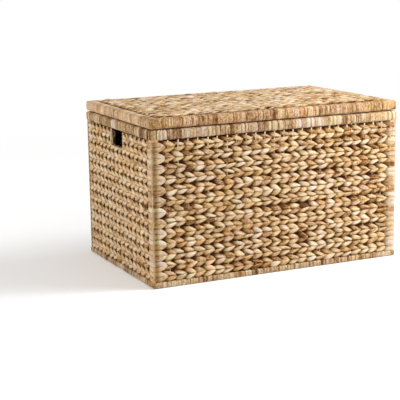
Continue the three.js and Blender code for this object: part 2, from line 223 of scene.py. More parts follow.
STAIN = 0.24


def stem_tints(tubes, passes, tones):
    """Tone and hue for each pass [tube, pass]. Passes of one stem share a hue and, but for a small
    difference, a tone."""
    stem = np.cumsum(draw.random((tubes, passes)) < tones.splice, axis=1)
    stem_tone = tones.mean + noise((tubes, passes + 1), tones.spread)
    stem_hue = draw.random((tubes, passes + 1))
    tone = np.take_along_axis(stem_tone, stem, 1) + noise((tubes, passes), tones.jitter)
    stained = draw.random((tubes, passes)) < tones.stained
    return tone - STAIN * stained, np.take_along_axis(stem_hue, stem, 1)


STEM_SIDES = 9
SQUARENESS = 0.85
STEM_GIRTH = 30 * MM
# How far apart neighbouring strands lie in their UV map, so that no two have the same fibres
STRAND_SHIFT = 0.31


def stem_section():
    """Unit section of a stem, as places across and through it: cosine and sine raised to a power below 1,
    which gives a closed curve between an ellipse and a box."""
    angle = 2 * np.pi * (np.arange(STEM_SIDES) + 0.5) / STEM_SIDES
    return [np.sign(part) * np.abs(part) ** SQUARENESS for part in (np.cos(angle), np.sin(angle))]


def stem_tubes(centre, half_width, half_depth, roll):
    """Tubes round centre lines [tube, ring, (u, d, w)]: at each ring the section is square to the line, its
    width close to upright and turned about the line by the roll."""
    tangent = np.gradient(centre, axis=1)
    tangent /= np.linalg.norm(tangent, axis=2, keepdims=True)
    width = UP - tangent[:, :, 2:3] * tangent
    width /= np.linalg.norm(width, axis=2, keepdims=True)
    through = np.cross(tangent, width)
    cos, sin = np.cos(roll)[:, :, None], np.sin(roll)[:, :, None]
    width, through = width * cos + through * sin, through * cos - width * sin
    across, deep = stem_section()
    return (centre[:, :, None] + width[:, :, None] * (half_width[:, :, None] * across)[..., None]
            + through[:, :, None] * (half_depth[:, :, None] * deep)[..., None])


# Twining. One turn of the pass angle takes a stem over the front of one stake, at 0, and behind the next, at
# pi. Each line gives the angle, the depth below the wall's face, the height in the row, and the half width
# and half depth of the stem, in millimetres. In front the stem is a long pointed leaf, and the point of each
# leaf lies over the beginning of the next.
STEM_COURSE = np.array([
    (-2.75, 10.6, -2.0, 8.4, 2.9),
    (-2.20, 9.5, -2.0, 8.0, 3.1),
    (-1.57, 7.0, -1.4, 8.2, 3.0),
    (-0.94, 4.6, -1.6, 6.9, 2.8),
    (0.00, 3.1, 0.0, 6.7, 2.9),
    (0.94, 2.8, 2.0, 5.8, 2.6),
    (1.57, 2.8, 3.8, 4.3, 2.1),
    (2.30, 3.6, 5.2, 2.1, 1.3),
    (2.70, 8.7, 3.4, 7.0, 3.2),
    (3.14, 10.9, 0.0, 9.0, 2.9),
])
COURSE_ROUNDING = 0.16


def course(angle, column):
    """A column of the stem's course at the given pass angles: straight lines between the given angles, each
    point of them averaged with the places a little before and after it."""
    turns, values = STEM_COURSE[:, 0], STEM_COURSE[:, column] * MM
    near = [np.interp(angle + shift, turns, values, period=2 * np.pi)
            for shift in COURSE_ROUNDING * np.array([-1.5, -0.5, 0.5, 1.5])]
    return sum(near) / len(near)


def swing(angle, lean):
    """Where a stem runs at a pass angle: depth, height in its row, half width and half depth."""
    return course(angle, 1), lean * course(angle, 2), course(angle, 3), course(angle, 4)


class Twining(NamedTuple):
    """How a panel is twined: how loose it is, how far the hidden starts of the leaves are raised, the depths
    at which their shade begins and is full, the rings for each gap between stakes, and its colours."""
    loose: float
    raised: float
    shade_from: float
    shade_to: float
    rings: int
    tones: Tones


FRONT_TWINING = Twining(1.15, 0.0, 0.9 * MM, 4.3 * MM, 8, Tones(0.6, 0.13, 0.42, 0.1, 0.035))
BACK_TWINING = FRONT_TWINING._replace(loose=0.8)
END_TWINING = Twining(0.75, 1.1 * MM, 1.4 * MM, 5.9 * MM, 8, Tones(0.65, 0.1, 0.42, 0.07, 0.03))
LID_TWINING = Twining(1.5, 0.6 * MM, 0.7 * MM, 4.0 * MM, 7, Tones(0.74, 0.17, 0.42, 0.14, 0.05))

# How stems stray from their course: their pass angle in radians, places and roll, and shares of lean,
# width and depth. What drifts is shared by the two stems of a row and changes slowly.
ANGLE_STRAY, ANGLE_DRIFT, ROW_STRAY = 0.2, 0.22, 0.2
DEPTH_STRAY = 0.4 * MM
HEIGHT_STRAY, HEIGHT_DRIFT = 0.5 * MM, 0.5 * MM
LEAN_STRAY, ROLL_STRAY = 0.26, 0.2
WIDTH_STRAY, WIDTH_DRIFT, THICKNESS_STRAY = 0.12, 0.06, 0.1

# The pass angle at which a leaf's start is most hidden, how sharply that fades, and how much wider a raised
# start is
HIDDEN_ANGLE, HIDDEN_SHARPNESS, HIDDEN_WIDENING = -1.9, 16, 0.2

# Passes before u = first, which keep the numbers of passes positive, and those to spare after the last
LEAD_PASSES, SPARE_PASSES = 4, 3
TOP_FILL = 3.4 * MM

# Shade at the wall's inner face, along the lower and upper edge of a leaf, and at its start
INNER_SHADE = 0.6
LOWER_SHADE, UPPER_SHADE = 0.55, 0.24
ROOT_SHADE = 0.22


def leaf_shade(local, angle, twining):
    """Depth of shade of points [tube, ring, side]: it grows evenly with the depth below the nearer face of
    the wall. Added to it are the square of how low a point lies on its stem, the fourth power of how high,
    and a share where the stem comes forward between two stakes."""
    near = np.minimum(local[..., 1], INNER_SHADE * (WEAVE - local[..., 1]))
    shade = np.clip((near - twining.shade_from) / (twining.shade_to - twining.shade_from), 0, 1)
    across = stem_section()[0]
    edge = LOWER_SHADE * np.clip(-across, 0, 1) ** 2 + UPPER_SHADE * np.clip(across, 0, 1) ** 4
    root = ROOT_SHADE * np.clip(-np.sin(angle), 0, 1)[..., None]
    return np.clip(shade + edge + root, 0, 1)


def twined_rows(bundle, face, heights, leans, first, gap, starts, ends, twining, top_fill=0.0, sunk=None):
    """Rows of two stems twined over stakes that stand a gap apart from first. A stem's pass angle grows by
    half a turn from stake to stake, and the second stem is half a turn ahead. starts and ends hold u for
    each of the two stems. top_fill raises the first row's passes behind the stakes, and sunk gives how far
    a place (u, w) of the panel lies below its plane."""
    rows, loose = len(heights), twining.loose
    stem = np.tile([0.0, 1.0], rows)
    row = np.repeat(np.arange(rows), 2)
    start, end = np.tile(starts, rows), np.tile(ends, rows)
    rings = int(twining.rings * np.max(end - start) / gap) + 1
    u = start[:, None] + (end - start)[:, None] * np.linspace(0, 1, rings)
    turn = (u - first) / gap + stem[:, None] + LEAD_PASSES
    tubes, passes = len(stem), int(turn.max()) + SPARE_PASSES

    def wander(size):
        """What differs from pass to pass of each stem."""
        return at_passes(noise((tubes, passes), size * loose), turn)

    def drift(size, slow):
        """What both stems of a row share and what changes over the given number of passes."""
        return at_passes(np.repeat(noise((rows, passes), size * loose), 2, axis=0), turn / slow)

    angle = np.pi * turn + wander(ANGLE_STRAY) + drift(ANGLE_DRIFT, slow=3)
    angle = angle + np.repeat(noise((rows, 1), ROW_STRAY * loose), 2, axis=0)
    depth, height, half_width, half_depth = swing(angle, np.asarray(leans)[row][:, None])
    hidden = np.cos((angle - HIDDEN_ANGLE) / 2) ** HIDDEN_SHARPNESS
    depth = depth + wander(DEPTH_STRAY) - twining.raised * hidden
    height = height * (1 + wander(LEAN_STRAY)) + wander(HEIGHT_STRAY)
    height = height + drift(HEIGHT_DRIFT, slow=1) + drift(HEIGHT_DRIFT, slow=5)
    height = height + np.asarray(heights)[row][:, None]
    height = height + top_fill * (row == 0)[:, None] * smooth_step(-np.cos(angle))
    half_width = half_width * (1 + wander(WIDTH_STRAY) + drift(WIDTH_DRIFT, slow=4))
    half_width = half_width * (1 + HIDDEN_WIDENING * hidden * (twining.raised > 0))
    half_depth = half_depth * (1 + wander(THICKNESS_STRAY))
    roll = wander(ROLL_STRAY)
    if sunk is not None:
        depth = depth + sunk(u, height)

    local = stem_tubes(np.stack([u, depth, height], -1), half_width, half_depth, roll)
    nearest = np.round(turn).astype(int)
    tone, hue = (np.take_along_axis(values, nearest, 1)[..., None]
                 for values in stem_tints(tubes, passes, twining.tones))
    tint = np.stack(np.broadcast_arrays(tone, hue, leaf_shade(local, angle, twining)), -1)
    length = u - start[:, None] + STRAND_SHIFT * np.arange(tubes)[:, None]
    bundle.add(face.place(local), length, np.linspace(0, STEM_GIRTH, STEM_SIDES + 1), tint)


def row_heights():
    """The middles of a wall's rows, from the top."""
    return weave_high[2] - BARE_STAKE - ROW_HEIGHT * (np.arange(ROWS) + 0.5)


def row_leans(rows):
    """Rows lean down and up in turn from the top, so each two make a line of arrowheads."""
    return np.where(np.arange(rows) % 2 == 0, -1.0, 1.0)


def stake_places(side):
    """The stakes of a wall, evenly spaced between the two that stand nearest its corners."""
    reach = FACES[side].half - END_STAKE
    return np.linspace(-reach, reach, STAKE_GAPS[side] + 1)


def stake_gap(side):
    """The distance from one stake of a wall to the next."""
    first, second = stake_places(side)[:2]
    return second - first


# How far the two stems of a row run past its last stakes, in gaps
FAR_END, NEAR_END = 0.8, 0.3


def wall_rows(side, twining):
    """The woven rows of one wall. In an end wall the rows beside the hand hole stop at its binding."""
    bundle, stakes, gap = Bundle(), stake_places(side), stake_gap(side)
    heights, leans = row_heights(), row_leans(ROWS)
    low, high = stakes[0], stakes[-1]
    begin = [low - FAR_END * gap, low - NEAR_END * gap]
    finish = [high + NEAR_END * gap, high + FAR_END * gap]
    whole = np.full(ROWS, True)
    if side in END_WALLS:
        whole = heights < binding_low[2] + BINDING
    before_hole, after_hole = [-BOUND_STAKE] * 2, [BOUND_STAKE] * 2
    for rows, starts, ends in ((whole, begin, finish), (~whole, begin, before_hole),
                               (~whole, after_hole, finish)):
        if rows.any():
            twined_rows(bundle, FACES[side], heights[rows], leans[rows], low, gap, starts, ends, twining,
                        top_fill=TOP_FILL if rows[0] else 0.0)
    return bundle


# A cane's points along and round it, its depth in the wall, how far it comes forward over its last stretch,
# how far it stands into the rim, how it strays, and its tone and shade
CANE_RINGS, CANE_SIDES = 8, 8
CANE_DEPTH, CANE_FORWARD, CANE_BEND = 6 * MM, 3 * MM, 30 * MM
CANE_SEAT, CANE_STRAY = 0.2 * MM, 0.4 * MM
CANE_TONE, CANE_SPREAD, CANE_SHADE = 0.74, 0.07, 0.3


def wall_stakes(side):
    """The round canes inside a wall, from its foot up into the rim. Those under the hand hole end below it.
    They come forward a little at the top, where they show between the first row and the rim."""
    bundle, stakes = Bundle(), stake_places(side)
    top = np.full(len(stakes), weave_high[2] + CANE_SEAT)
    if side in END_WALLS:
        top[np.abs(stakes) < BOUND_STAKE - BINDING] = binding_low[2] + BINDING / 2
    w = weave_low[2] + (top - weave_low[2])[:, None] * np.linspace(0, 1, CANE_RINGS)
    turn = 2 * np.pi * np.arange(CANE_SIDES) / CANE_SIDES
    each = (len(stakes), 1, 1)
    aside, deeper = noise(each, CANE_STRAY), noise(each, CANE_STRAY)
    forward = smooth_step((w - top[:, None]) / CANE_BEND + 1)[..., None]
    local = np.stack(np.broadcast_arrays(
        stakes[:, None, None] + aside + STAKE_RADIUS * np.cos(turn),
        CANE_DEPTH - CANE_FORWARD * forward + deeper + STAKE_RADIUS * np.sin(turn),
        w[:, :, None]), -1)
    tone, hue = CANE_TONE + noise(each, CANE_SPREAD), draw.random(each)
    shade = np.broadcast_to(CANE_SHADE * (1 - forward), local.shape[:3])
    tint = np.stack(np.broadcast_arrays(tone, hue, shade), -1)
    girth = np.linspace(0, 2 * np.pi * STAKE_RADIUS, CANE_SIDES + 1)
    bundle.add(FACES[side].place(local), w, girth, tint)
    return bundle


# Corners
def corner_frame(corner):
    """The sharp outer tip of a corner and the two ways from it, back along the wall before it and ahead along
    the wall after it."""
    before, after = (FACES[side] for side in CORNERS[corner])
    back_along, ahead = -before.axes[0], after.axes[0]
    return after.middle - after.half * ahead, back_along, ahead


def round_corner(corner, q, d, w):
    """A place on a body corner: q runs along the outside from the wall before it to the wall after it, 0 at
    the corner's middle, d is the depth below the outside and w the height."""
    tip, back_along, ahead = corner_frame(corner)
    bend = np.clip(q / CORNER_TURN + np.pi / 4, 0, np.pi / 2)
    rest = q - CORNER_TURN * (bend - np.pi / 4)
    cos, sin = np.cos(bend)[..., None], np.sin(bend)[..., None]
    outward = -(cos * ahead + sin * back_along)
    onward = sin * ahead - cos * back_along
    return (tip + CORNER_TURN * (back_along + ahead) + outward * (CORNER_TURN - d)[..., None]
            + onward * rest[..., None] + w[..., None] * UP)


CORNER_TONES = Tones(0.63, 0.14, 1.0, 0.05)
STRAP_RINGS = 40

# Half width and half depth of a turn where it is flat, and its clearance under the outside
FLAT_WIDTH, FLAT_DEPTH, FLAT_SEAT = 6.9 * MM, 1.9 * MM, 0.25 * MM

# Where a turn loosens before its last stake, over what stretch, and how far past that stake it ends, in
# gaps. Where it comes off a long wall it swings up to OPEN_TURN from the corner, and leaves wide notches.
LOOSE_BEFORE, LOOSE_STRETCH = 14 * MM, 17 * MM
STRAP_END = 0.78
OPEN_TURN = 11 * MM

# How the turns differ in height, depth, width and roll, and over how many places along them
HEIGHT_WOBBLE, DEPTH_WOBBLE, WIDTH_WOBBLE, ROLL_WOBBLE = 0.55 * MM, 0.4 * MM, 0.09, 0.12
WOBBLE_MIDDLE, WOBBLE_REACH, WOBBLE_PLACES = 2.5, 1.5, 6

# The shade of a turn with depth, and of the fold just past the corner
STRAP_SHADE_FROM, STRAP_SHADE_DEPTH = 1.6 * MM, 6 * MM
FOLD_SHADE, FOLD_PLACE, FOLD_WIDTH = 0.8, 8 * MM, 8 * MM


def corner_straps(corner):
    """One flat turn of stem for each row, from behind the last stake of one wall, round the corner and
    behind the first stake of the next. It is flat and full width at the corner. Past its last pass it
    swings like the rows do, so the turns of two rows draw together and leave dark notches between them."""
    bundle = Bundle()
    gaps = [stake_gap(side) for side in CORNERS[corner]]
    last = [END_STAKE - gap for gap in gaps]
    if CORNERS[corner][0] not in END_WALLS:
        gaps[0], last[0] = END_STAKE - OPEN_TURN, OPEN_TURN
    saved = CORNER_TURN * (1 - np.pi / 4)
    reach = [last[k] + STRAP_END * gaps[k] - saved for k in (0, 1)]
    share = np.linspace(-1, 1, STRAP_RINGS)
    q = np.where(share < 0, share * reach[0], share * reach[1])
    q = np.broadcast_to(q, (ROWS, STRAP_RINGS))
    away = np.abs(q) + saved
    gap, start = np.where(q < 0, gaps[0], gaps[1]), np.where(q < 0, last[0], last[1])
    angle = np.sign(q) * np.pi * np.maximum(away - start, 0) / gap
    depth, height, half_width, half_depth = swing(angle, row_leans(ROWS)[:, None])
    loose = smooth_step((away - start + LOOSE_BEFORE) / LOOSE_STRETCH)
    depth = (FLAT_DEPTH + FLAT_SEAT) * (1 - loose) + depth * loose
    half_width = FLAT_WIDTH * (1 - loose) + half_width * loose
    half_depth = FLAT_DEPTH * (1 - loose) + half_depth * loose
    places = np.broadcast_to(WOBBLE_MIDDLE + WOBBLE_REACH * share, q.shape)

    def wobble(size):
        """What differs along each turn."""
        return at_passes(noise((ROWS, WOBBLE_PLACES), size), places)

    height = height + wobble(HEIGHT_WOBBLE) + row_heights()[:, None]
    depth = depth + np.abs(wobble(DEPTH_WOBBLE))
    half_width = half_width * (1 + wobble(WIDTH_WOBBLE))
    centre = np.stack([q, depth, height], -1)
    local = stem_tubes(centre, half_width, half_depth, wobble(ROLL_WOBBLE))

    tone, hue = stem_tints(ROWS, 1, CORNER_TONES)
    # Painted shade on each turn just past the middle of the corner, on the wall after it
    painted_fold_shade = FOLD_SHADE * np.exp(-((q - FOLD_PLACE) / FOLD_WIDTH) ** 2)[..., None]
    shade = np.clip((local[..., 1] - STRAP_SHADE_FROM) / STRAP_SHADE_DEPTH + painted_fold_shade, 0, 1)
    tint = np.stack(np.broadcast_arrays(tone[..., None], hue[..., None], shade), -1)
    length = q + STRAND_SHIFT * np.arange(ROWS)[:, None]
    world = round_corner(corner, local[..., 0], local[..., 1], local[..., 2])
    bundle.add(world, length, np.linspace(0, STEM_GIRTH, STEM_SIDES + 1), tint)
    return bundle


# Wound strip
def band_section(low, high, outer, inner, steps):
    """A box from low to high with its outer and inner edges rounded, as points, outward normals and the
    distance round to each point. Each edge is a quarter circle of the given number of points, and one more
    point lies in the middle of each straight side."""
    low, high = np.array(low, float), np.array(high, float)
    edges = np.array([(1, 1), (0, 1), (0, 0), (1, 0)])
    rounding = np.where(edges[:, :1], inner, outer)
    turns = (np.linspace(0, 1, steps) + np.arange(4)[:, None]) * np.pi / 2
    normals = np.stack([np.cos(turns), np.sin(turns)], -1)
    centres = np.where(edges, high - rounding, low + rounding)
    points = centres[:, None] + rounding[:, None] * normals
    halfway = (points[:, -1] + np.roll(points, -1, axis=0)[:, 0]) / 2
    points = np.concatenate([points, halfway[:, None]], axis=1).reshape(-1, 2)
    normals = np.concatenate([normals, normals[:, -1:]], axis=1).reshape(-1, 2)
    steps_round = np.linalg.norm(np.roll(points, -1, axis=0) - points, axis=1)
    return points, normals, np.concatenate([[0], np.cumsum(steps_round)])


class Winding(NamedTuple):
    """How a strip is wound: mean and least width of a turn, height of its dome, its lean along the bar, its
    colours, and how far from the bar's ends a seam lies, if there is one, as a deep groove in painted shade."""
    width: float
    least: float
    dome: float
    lean: float
    tones: Tones
    seam: float = 0.0


# A turn's points across its width, as shares of it, and their lift in domes, with the groove at -1
TURN_SHARES = np.array([0.0, 0.09, 0.32, 0.68, 0.91])
TURN_DOMES = np.array([-1.0, -0.18, 0.16, 0.16, -0.18])
WIDTH_SPREAD, CROWN_SPREAD = 0.35, 0.25

# A groove's depth in domes: the least, what an open one adds, and how open a seam is
GROOVE_LEAST, GROOVE_OPEN, SEAM_OPEN = 0.45, 0.9, 1.6

# Shade in a groove and beside it: the least, and what an open groove adds
GROOVE_SHADE, GROOVE_SHADE_OPEN = 0.42, 0.6
SIDE_SHADE, SIDE_SHADE_OPEN = 0.06, 0.2

# Shade and hue where the last turn ends, and how far each turn's fibres are shifted against the one before
END_SHADE, END_HUE, TURN_SHIFT = 0.8, 0.5, 0.173


def strip_widths(length, winding):
    """Widths of the turns side by side on a bar, scaled so that they fill it."""
    count = max(3, round(length / winding.width))
    widths = winding.width * (1 + WIDTH_SPREAD * draw.standard_normal(count))
    widths = np.maximum(widths, winding.least)
    return widths * length / widths.sum()


def turn_tints(tones, open_share, shades):
    """Tone, hue and depth of shade at each line of points across a strip's turns."""
    turns, parts = len(open_share), len(TURN_SHARES)
    tone, hue = stem_tints(1, turns, tones)
    tone = np.append(np.repeat(tone[0], parts), tone[0, -1])
    hue = np.append(np.repeat(hue[0], parts), END_HUE)
    groove = np.clip(GROOVE_SHADE + GROOVE_SHADE_OPEN * open_share, 0, 1)
    side = np.clip(SIDE_SHADE + SIDE_SHADE_OPEN * open_share, 0, 1)
    crown = np.zeros(turns)
    shade = np.stack([groove, side, crown, crown, np.roll(side, -1)], -1)
    shade = np.clip(np.append(shade.ravel(), END_SHADE)[:, None] + shades, 0, 1)
    return np.stack(np.broadcast_arrays(tone[:, None], hue[:, None], shade), -1)


def wound(place, start, end, outline, winding, shades=0.0):
    """Strip wound side by side round a bar that runs from start to end. Every turn is a low dome with a
    groove on each side, some grooves much deeper than others. It leans a little along the bar as it goes
    round, by a cosine and a sine of the distance round. place puts (along, a, b) into space, where a and b
    are the outline's two directions, and shades darkens single points of the outline."""
    points, normals, girth = outline
    widths = strip_widths(end - start, winding)
    edges = start + np.concatenate([[0], np.cumsum(widths)[:-1]])
    turns, parts = len(widths), len(TURN_SHARES)
    open_share = draw.random(turns) ** 2
    # A seam is a groove opened wide: deeper than the rest and in full painted shade
    if winding.seam:
        for seam in (start + winding.seam, end - winding.seam):
            open_share[np.argmin(np.abs(edges - seam))] = SEAM_OPEN
    groove = (GROOVE_LEAST + GROOVE_OPEN * open_share)[:, None]
    crown = CROWN_SPREAD * winding.dome * np.clip(draw.standard_normal((turns, 1)), -1, 1)
    along = (edges[:, None] + widths[:, None] * TURN_SHARES).ravel()
    in_groove = TURN_DOMES == -1
    lift = TURN_DOMES * winding.dome * np.where(in_groove, groove, 1)
    lift = (lift + crown * ~in_groove).ravel()
    lean = np.repeat(noise(turns, winding.lean), parts)
    toward = np.repeat(draw.random(turns) * 2 * np.pi, parts)
    along, lift = np.append(along, end), np.append(lift, -winding.dome)
    lean, toward = np.append(lean, 0), np.append(toward, 0)
    fade = 4 * winding.lean + MM
    lean = lean * smooth_step((along - start) / fade) * smooth_step((end - along) / fade)
    # Neighbouring turns share their lean at the groove, so no turn cuts into the next
    kernel = np.ones(parts + 2) / (parts + 2)
    cos = np.convolve(lean * np.cos(toward), kernel, "same")
    sin = np.convolve(lean * np.sin(toward), kernel, "same")
    around = 2 * np.pi * girth[:-1] / girth[-1]
    shift = cos[:, None] * np.cos(around) + sin[:, None] * np.sin(around)
    shaped = points[None] + normals[None] * lift[:, None, None]
    world = place(along[:, None] + shift, shaped[..., 0], shaped[..., 1])
    tint = turn_tints(winding.tones, open_share, shades)
    # The strip's length runs round the bar, so the fibres do too
    offset = np.append(np.repeat(TURN_SHIFT * np.arange(turns), parts), 0)
    bundle = Bundle()
    bundle.add(world[None], (along + offset)[None], girth, tint[None], across=True)
    return bundle


# How far inside the wall's face a bar lies, and the length over which its turns fan out to the mitre
FACE_INSET, MITRE_REACH = 0.2 * MM, 70 * MM


def mitred_place(side, rounding):
    """Bars of the rim, the foot and the lid band: (along, a, b) is u, depth and height. Near the ends the
    turns fan out to the mitre at 45 degrees, and the upright edge there is rounded: what lies within the
    rounding of the edge is pulled in to a quarter circle."""
    face = FACES[side]

    def place(along, a, b):
        edge = face.half - np.abs(along) + FACE_INSET
        edge = edge + a * (1 - smooth_step(edge / MITRE_REACH))
        edge = np.maximum(edge, rounding * (1 - math.sqrt(0.5)))
        inside = np.clip(rounding - edge, 0, rounding)
        pulled = rounding - np.sqrt(rounding ** 2 - inside ** 2)
        depth = np.maximum(a, pulled + np.minimum(a, SKIN))
        return face.place(np.stack([np.sign(along) * (face.half - edge), depth, b], -1))

    return place


RIM_WINDING = Winding(11.5 * MM, 4 * MM, 0.9 * MM, 1.4 * MM, Tones(0.63, 0.13, 0.5, 0.09, 0.06), 15 * MM)
END_RIM_WINDING = RIM_WINDING._replace(tones=Tones(0.45, 0.13, 0.6, 0.1, 0.05))
FOOT_WINDING = Winding(12 * MM, 5 * MM, 0.7 * MM, 0.8 * MM, Tones(0.5, 0.1, 0.6, 0.06))
LID_WINDING = Winding(4.6 * MM, 2.2 * MM, 0.45 * MM, 0.6 * MM, Tones(0.41, 0.09, 0.2, 0.05, 0.04))
END_LID_WINDING = LID_WINDING._replace(tones=Tones(0.55, 0.1, 0.2, 0.06, 0.04))
POST_WINDING = Winding(10 * MM, 3 * MM, 0.7 * MM, 0.8 * MM, Tones(0.5, 0.13, 0.4, 0.05))
BINDING_WINDING = Winding(6.5 * MM, 3 * MM, 0.5 * MM, 0.5 * MM, Tones(0.7, 0.08, 0.2, 0.04, 0.0))


# Play above and below a bar, and the rounding of its outer edges
PLAY, FLOOR_PLAY = 0.2 * MM, 0.3 * MM
RIM_EDGE, FOOT_EDGE, LID_EDGE = 6.5 * MM, 4 * MM, 7 * MM


def bar_wrap(side, low, high, edge_rounding, corner_rounding, winding):
    """Strip wound round one bar between two heights."""
    outline = band_section((FACE_INSET, low), (MEMBER, high), edge_rounding, INNER_ROUNDING, 4)
    half = FACES[side].half
    return wound(mitred_place(side, corner_rounding), -half, half, outline, winding)


POST_ROUNDING = 3.6 * MM
POST_SHADE = 0.8


def post_wrap(corner):
    """Strip wound round a corner post, a little inside the flat turns of stem, with painted shade on its
    outer faces behind them.
    """
    tip, back_along, ahead = corner_frame(corner)

    def place(along, a, b):
        return tip + a[..., None] * ahead + b[..., None] * back_along + along[..., None] * UP

    outline = band_section((POST_RECESS,) * 2, (MEMBER,) * 2, POST_ROUNDING, POST_ROUNDING, 3)
    # Painted shade on the post's outer faces, which show in the notches between the flat turns
    outside = outline[0].min(axis=1) < POST_RECESS + MM
    return wound(place, weave_low[2], weave_high[2], outline, POST_WINDING, POST_SHADE * outside)


# The binding's turn at the hole's lower corners, its clearance from the wall's faces, how far it stands into
# the hole, its rounding, and its shade inside the hole from a depth on
BINDING_TURN = 6 * MM
BINDING_CLEARANCE, BINDING_OVERHANG, BINDING_ROUNDING = 0.1 * MM, 0.8 * MM, 2.1 * MM
HOLE_SHADE, HOLE_SHADE_FROM = 0.9, 2.5 * MM


def hole_binding(side):
    """Strip wound round the edge of a hand hole: down one side, along the foot and up the other, with
    rounded corners. Its section is as deep as the wall, and its faces inside the hole are painted in shade."""
    face, turn = FACES[side], BINDING_TURN
    foot = binding_low[2] + BINDING / 2
    rise, run = binding_high[2] - foot - turn, BOUND_STAKE - turn
    quarter = turn * np.pi / 2
    reach = run + quarter + rise

    def place(along, a, b):
        away, sign = np.abs(along), np.sign(along)
        bend = np.clip((away - run) / turn, 0, np.pi / 2)
        up = np.maximum(away - run - quarter, 0)
        u = np.minimum(away, run) + (turn + b) * np.sin(bend)
        w = foot + turn - (turn + b) * np.cos(bend) + up
        return face.place(np.stack([sign * u, a, w], -1))

    outline = band_section((BINDING_CLEARANCE, -BINDING_OVERHANG), (WEAVE - BINDING_CLEARANCE, BINDING / 2),
                           BINDING_ROUNDING, BINDING_ROUNDING, 4)
    depths, sideways = outline[0].T
    # Painted shade on the faces towards the hole, deeper into the wall than HOLE_SHADE_FROM
    inside = (sideways < 0) & (depths > HOLE_SHADE_FROM)
    return wound(place, -reach, reach, outline, BINDING_WINDING, HOLE_SHADE * inside)


# The lid's panel stands above its plane and dips where it meets the band
PANEL_RISE, PANEL_DIP, PANEL_DIP_REACH = 1.5 * MM, 4 * MM, 12 * MM


def lid_rows():
    """The rows of the lid's panel."""
    bundle = Bundle()
    half_u, half_w = panel_high[0], (panel_high[1] - panel_low[1]) / 2
    gap = stake_gap("front")
    first = stake_places("front")[0] - gap
    heights = half_w - 2 * half_w / LID_ROWS * (np.arange(LID_ROWS) + 0.5)

    def sunk(u, w):
        edge = np.minimum(half_u - np.abs(u), half_w - np.abs(w))
        return PANEL_DIP * (1 - smooth_step(edge / PANEL_DIP_REACH)) - PANEL_RISE

    twined_rows(bundle, LID_TOP, heights, row_leans(LID_ROWS), first, gap,
                [-half_u] * 2, [half_u] * 2, LID_TWINING, sunk=sunk)
    return bundle


# Finishes
def paint(red, green, blue):
    """A colour written as it looks, 0 to 255, as Blender's linear colour."""
    shown = np.array([red, green, blue]) / 255
    linear = np.where(shown <= 0.04045, shown / 12.92, ((shown + 0.055) / 1.055) ** 2.4)
    return (*linear.tolist(), 1.0)


class Varying:
    """A socket that varies over a surface. Arithmetic on it adds Math nodes."""

    def __init__(self, graph, socket):
        self.graph, self.socket = graph, socket

    def math(self, operation, first, second):
        return self.graph.node("ShaderNodeMath", {0: first, 1: second}, operation=operation)[0]

    def __add__(self, other):
        return self.math("ADD", self, other)

    def __radd__(self, other):
        return self.math("ADD", other, self)

    def __sub__(self, other):
        return self.math("SUBTRACT", self, other)

    def __mul__(self, other):
        return self.math("MULTIPLY", self, other)

    def either(self, other):
        """The larger of the two."""
        return self.math("MAXIMUM", self, other)


class Graph:
    """A node tree, built from empty."""

    def __init__(self, tree):
        self.tree = tree
        tree.nodes.clear()

    def node(self, kind, inputs=None, **settings):
        """Adds a node, sets its settings and then its inputs, and gives back its outputs."""
        made = self.tree.nodes.new(kind)
        for name, value in settings.items():
            if name == "stops":
                elements = made.color_ramp.elements
                while len(elements) < len(value):
                    elements.new(0.5)
                for element, (position, colour) in zip(elements, value):
                    element.position, element.color = position, colour
            else:
                setattr(made, name, value)
        for name, value in (inputs or {}).items():
            if isinstance(value, Varying):
                self.tree.links.new(value.socket, made.inputs[name])
            else:
                made.inputs[name].default_value = value
        return [Varying(self, socket) for socket in made.outputs]

    def ramp(self, stops, level):
        return self.node("ShaderNodeValToRGB", {0: level}, stops=stops)[0]

    def blend(self, factor, first, second, mode="MIX"):
        colours = {0: factor, 6: first, 7: second}
        return self.node("ShaderNodeMix", colours, data_type="RGBA", blend_type=mode)[2]

    def tinted(self, colour, tint):
        return self.blend(1.0, colour, tint, "MULTIPLY")

    def stretched(self, place, scale):
        return self.node("ShaderNodeVectorMath", {0: place, 1: scale}, operation="MULTIPLY")[0]

    def clouds(self, place, scale, detail, roughness):
        inputs = {"Vector": place, "Scale": scale, "Detail": detail, "Roughness": roughness}
        return self.node("ShaderNodeTexNoise", inputs)[0]

    def relief(self, height, strength, distance):
        inputs = {"Strength": strength, "Distance": distance, "Height": height}
        return self.node("ShaderNodeBump", inputs)[0]

    def place(self):
        """A surface point's place in its object's own coordinates."""
        return self.node("ShaderNodeTexCoord")[3]


def surface(name):
    """A new material and the graph of its nodes."""
    material = bpy.data.materials.new(name)
    material.use_nodes = True
    return material, Graph(material.node_tree)


def finished(material, graph, **inputs):
    """Gives a material its shader, with the sockets named as on the shader."""
    values = {name.replace("_", " "): value for name, value in inputs.items()}
    shader = graph.node("ShaderNodeBsdfPrincipled", values)[0]
    graph.node("ShaderNodeOutputMaterial", {0: shader})
    return material


REED_TONES = [
    (0.0, paint(92, 57, 25)), (0.22, paint(146, 103, 60)), (0.45, paint(197, 159, 116)),
    (0.66, paint(220, 191, 158)), (0.84, paint(229, 206, 182)), (1.0, paint(233, 216, 196)),
]
REED_HUES = [
    (0.0, paint(246, 242, 247)), (0.22, paint(247, 250, 250)), (0.5, paint(255, 252, 246)),
    (0.78, paint(250, 252, 233)), (1.0, paint(255, 239, 217)),
]
HALF_SHADE = paint(255, 234, 150)
WHITE = (1.0, 1.0, 1.0, 1.0)

# Repeats in a metre, along and across the strand or in every direction, and shares of the contrast
FIBRES, HAIRS, BLOTCHES, MOTTLES = (22.0, 210.0, 1.0), (90.0, 2100.0, 1.0), 34.0, 240.0
FIBRE_SHARE, HAIR_SHARE, BLOTCH_SHARE, MOTTLE_SHARE = 1.1, 0.4, 0.5, 0.8


